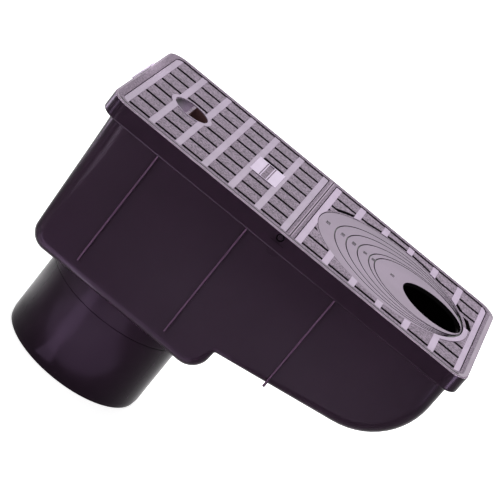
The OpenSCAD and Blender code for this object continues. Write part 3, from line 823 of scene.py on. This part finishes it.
class GULLY_OT_grates(bpy.types.Operator):
    """Gives both grates rough slats, smooth bars and fine edges"""
    bl_idname = "gully.grates"
    bl_label = "Grates"

    def execute(self, context):
        cover, look = context.scene.gully_cover, context.scene.gully_colours
        # painted light: a gain of 1.3 makes the downpipe grate a brighter copy of the same plastic, as more
        # light falls on that end
        for name, gain, pull_radius in (("inspection_grate", 1.0, PULL_RADIUS * MM),
                                        ("downpipe_grate", 1.3, 0)):
            piece = soften(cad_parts[name], cover.edge * 0.65)
            paint_over(piece, grate_plastic("Grate plastic " + name, look, cover, gain, pull_radius))
        return {"FINISHED"}


class GULLY_OT_ring_plate(bpy.types.Operator):
    """Gives the ring plate its satin finish and its pipe sizes"""
    bl_idname = "gully.ring_plate"
    bl_label = "Ring plate"

    def execute(self, context):
        cover, look = context.scene.gully_cover, context.scene.gully_colours
        piece = soften(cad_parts["ring_plate"], cover.edge * 0.4)
        paint_over(piece, ring_plastic(look))
        marks = sizes_on_plate(cover)
        paint_over(marks, satin_plastic("Mark plastic", [c * 0.25 for c in look.disc], 0.6, 0.3))
        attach(marks, "gully")
        return {"FINISHED"}


class GULLY_OT_inside(bpy.types.Operator):
    """Gives the leaf basket, the trap and the odour flap their finishes"""
    bl_idname = "gully.inside"
    bl_label = "Basket, trap and flap"

    def execute(self, context):
        look = context.scene.gully_colours
        dark = satin_plastic("Dark inner plastic", look.inside, 0.5, 0.3)
        pale = satin_plastic("Flap plastic", look.rim, 0.5, 0.3)
        rubber = soft_rubber("Seal rubber", look.rubber)
        steel = drawn_steel("Drawn steel")
        for name, material in (("leaf_basket", dark), ("trap_insert", dark), ("odour_flap", pale),
                               ("trap_ring", rubber), ("flap_gasket", rubber), ("flap_pin", steel)):
            paint_over(soften(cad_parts[name], 0.2 * MM), material)
        return {"FINISHED"}


class GULLY_OT_studio(bpy.types.Operator):
    """Sets the floor, the lights, the world and the camera"""
    bl_idname = "gully.studio"
    bl_label = "Studio"

    def execute(self, context):
        scene, studio = context.scene, context.scene.gully_studio
        make_floor(scene.gully_colours.floor, studio.glow)
        world = bpy.data.worlds.new("Studio")
        world.use_nodes = True
        world.node_tree.nodes["Background"].inputs["Color"].default_value = (1, 1, 1, 1)
        world.node_tree.nodes["Background"].inputs["Strength"].default_value = studio.ambient
        scene.world = world
        for softbox in SOFTBOXES:
            add_softbox(*softbox)
        dark = bpy.data.collections.new("Dark body")
        dark.objects.link(scene.objects["gully_body"])
        for strip in STRIPS:
            lamp = add_softbox(*strip)
            lamp.data.color = STRIP_COLOUR
            lamp.visible_diffuse = False
            lamp.light_linking.receiver_collection = dark
        for pool in POOLS:
            add_pool(*pool)
        place_camera(scene, studio)
        scene.view_settings.view_transform = "Standard"
        return {"FINISHED"}


class GULLY_PT_panel(bpy.types.Panel):
    """Lists what the add-on builds"""
    bl_label = "Rainwater gully"
    bl_idname = "GULLY_PT_panel"
    bl_space_type = "VIEW_3D"
    bl_region_type = "UI"
    bl_category = "Gully"

    def draw(self, context):
        for operator in OPERATORS:
            self.layout.operator(operator.bl_idname)
        for group in PROPERTY_GROUPS:
            box = self.layout.box()
            values = getattr(context.scene, group)
            for name in values.bl_rna.properties.keys():
                if name not in ("rna_type", "name"):
                    box.prop(values, name)


OPERATORS = [GULLY_OT_body, GULLY_OT_cover_frame, GULLY_OT_grates, GULLY_OT_ring_plate, GULLY_OT_inside,
             GULLY_OT_studio]
PROPERTY_GROUPS = {"gully_body": BodySizes, "gully_cover": CoverSizes, "gully_colours": Colours,
                   "gully_studio": Studio}
CLASSES = [*PROPERTY_GROUPS.values(), *OPERATORS, GULLY_PT_panel]


def register():
    for item in CLASSES:
        bpy.utils.register_class(item)
    for name, group in PROPERTY_GROUPS.items():
        setattr(bpy.types.Scene, name, PointerProperty(type=group))


def unregister():
    for name in PROPERTY_GROUPS:
        delattr(bpy.types.Scene, name)
    for item in reversed(CLASSES):
        bpy.utils.unregister_class(item)


def main():
    register()
    bpy.ops.gully.body()
    bpy.ops.gully.cover_frame()
    bpy.ops.gully.grates()
    bpy.ops.gully.ring_plate()
    bpy.ops.gully.inside()
    bpy.ops.gully.studio()


if __name__ == "__main__":
    main()
